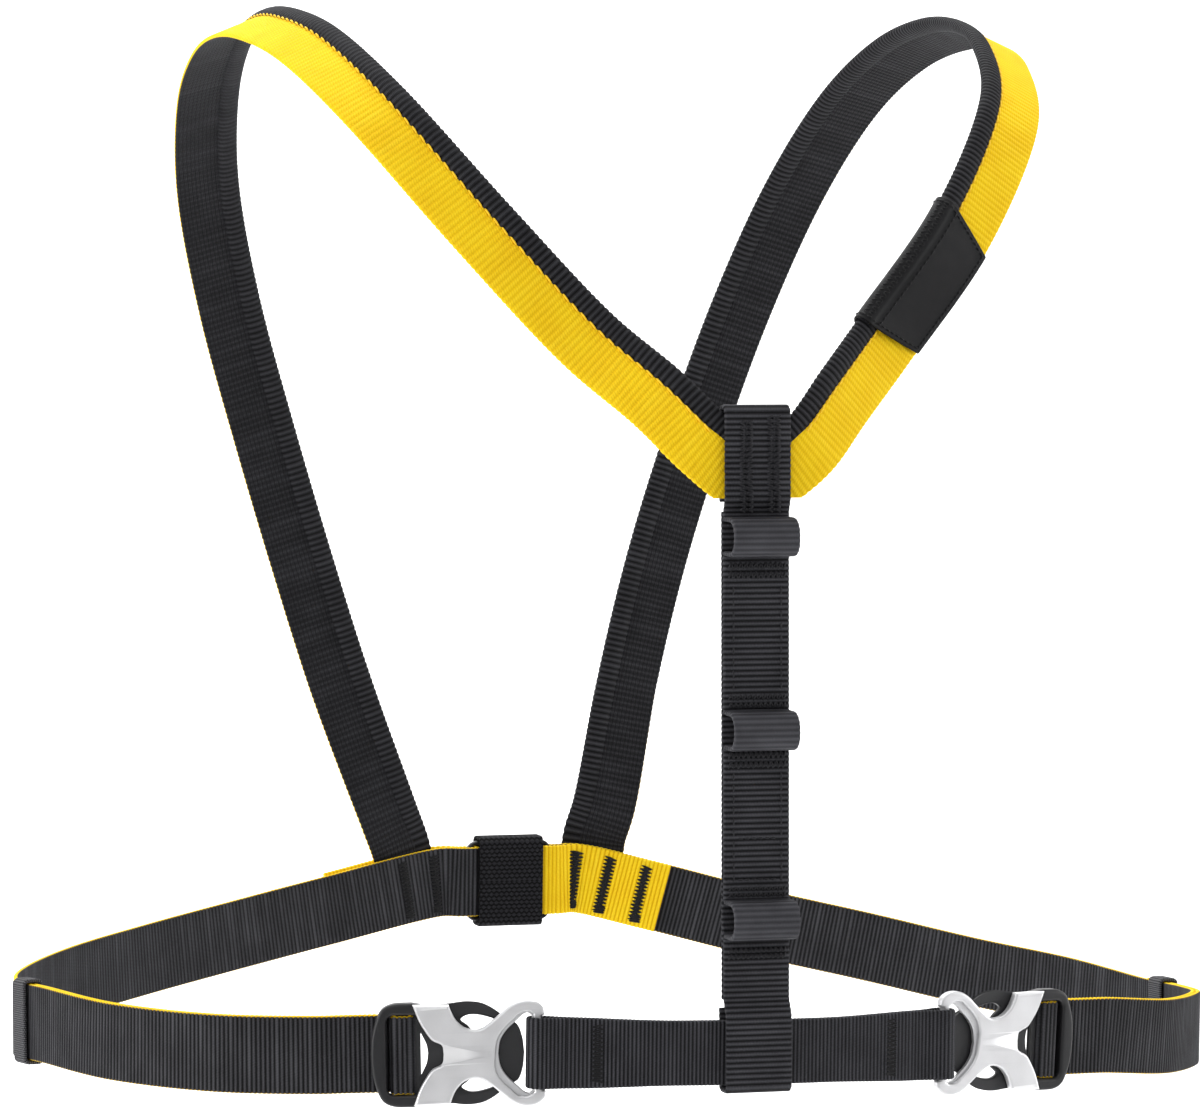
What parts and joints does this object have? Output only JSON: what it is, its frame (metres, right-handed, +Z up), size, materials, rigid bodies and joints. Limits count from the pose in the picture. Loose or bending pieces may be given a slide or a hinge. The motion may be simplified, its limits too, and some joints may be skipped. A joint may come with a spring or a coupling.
{
  "type": "climbing chest harness",
  "caption": "Chest harness with a buckled belt, shoulder straps with a tubular neck edge and a centre strap with tunnel loops.",
  "frame": {"origin": "between the two shoulder straps at the top of the shoulders, level with the underside of the straps", "axes": "+Z up, -Y the chest side, +X towards the wearer's left"},
  "size_m": [0.4146, 0.3109, 0.3609],
  "materials": {
    "belt_webbing": "black ribbed polyester webbing, yellow on its other face",
    "yellow_webbing": "yellow ribbed polyester webbing, black on its inner face",
    "black_webbing": "black ribbed polyester webbing",
    "elastic": "black woven elastic",
    "black_plastic": "satin moulded plastic",
    "cast_metal": "satin cast aluminium",
    "patch": "smooth dark patch with a soft sheen"
  },
  "bodies": {
    "root": {"left_belt_strap": "belt_webbing", "right_belt_strap": "belt_webbing", "left_end_keeper": "elastic", "right_end_keeper": "elastic", "back_keeper": "elastic", "back_adjuster": "black_plastic", "left_buckle_hook": "cast_metal", "right_buckle_hook": "cast_metal", "left_buckle_frame": "black_plastic", "right_buckle_frame": "black_plastic", "front_band": "belt_webbing", "left_shoulder_webbing": "yellow_webbing", "right_shoulder_webbing": "yellow_webbing", "left_shoulder_edge_tube": "black_webbing", "right_shoulder_edge_tube": "black_webbing", "shoulder_label_patch": "patch", "centre_loop_strap": "black_webbing", "centre_backing_strap": "black_webbing"}
  },
  "joints": []
}
